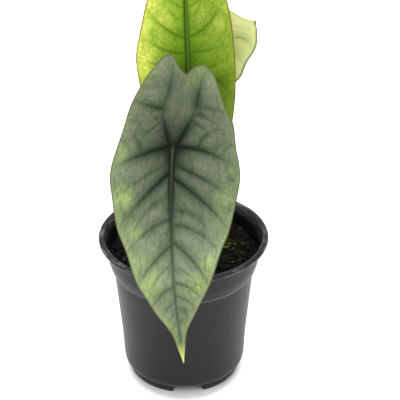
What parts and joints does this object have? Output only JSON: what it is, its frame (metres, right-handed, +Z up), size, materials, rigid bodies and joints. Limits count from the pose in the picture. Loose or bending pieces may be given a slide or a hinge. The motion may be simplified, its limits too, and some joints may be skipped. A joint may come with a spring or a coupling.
{
  "type": "potted alocasia platinum",
  "caption": "Young aroid house plant with silvery arrow-shaped peltate leaves on arching stalks, growing in a round black plastic nursery pot filled with soil.",
  "frame": {"origin": "on the floor, on the axis of the pot, which is within about a millimetre of the middle of the whole part's outline", "axes": "+Z up along the pot's axis; the front leaf hangs on the -Y side, so +Y points from the viewer into the picture, with +X to the right"},
  "size_m": [0.1198, 0.1726, 0.3393],
  "materials": {
    "pot_plastic": "satin",
    "potting_mix": "matte",
    "rootstock_skin": "matte",
    "silver_leaf": "satin",
    "green_leaf": "satin",
    "pale_leaf": "satin"
  },
  "bodies": {
    "root": {"pot": "pot_plastic", "soil": "potting_mix", "rootstock": "rootstock_skin", "front_leaf": "silver_leaf", "back_leaf": "green_leaf", "side_leaf": "pale_leaf"}
  },
  "joints": []
}
